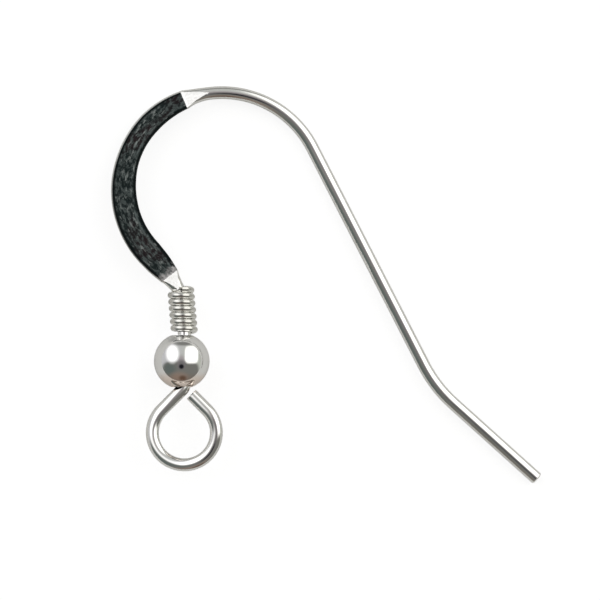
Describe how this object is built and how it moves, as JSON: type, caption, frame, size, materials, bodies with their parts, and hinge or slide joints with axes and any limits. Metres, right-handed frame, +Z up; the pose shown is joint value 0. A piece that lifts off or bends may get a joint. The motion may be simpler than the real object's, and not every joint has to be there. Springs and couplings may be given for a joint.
{
  "type": "ear wire",
  "caption": "Silver ear hook of round wire: hammered flat front, long splayed tail, a close-wound coil and a hollow bead on its neck, and an open teardrop loop for a drop.",
  "frame": {"origin": "middle of the part's box in X and Y, on the surface that it lies on", "axes": "+X towards the tail, +Y towards the crown, +Z up from the surface that it lies on"},
  "size_m": [0.0232, 0.0214, 0.003],
  "materials": {
    "polished_wire": "polished sterling silver wire; the pressed front is planished, with a fine mottle on its flat faces",
    "coil_wire": "polished silver wire, slightly warm, drawn bright",
    "bead_shell": "mirror polished seamless silver bead"
  },
  "bodies": {
    "root": {"ear_wire": "polished_wire", "coil": "coil_wire", "bead": "bead_shell"}
  },
  "joints": []
}
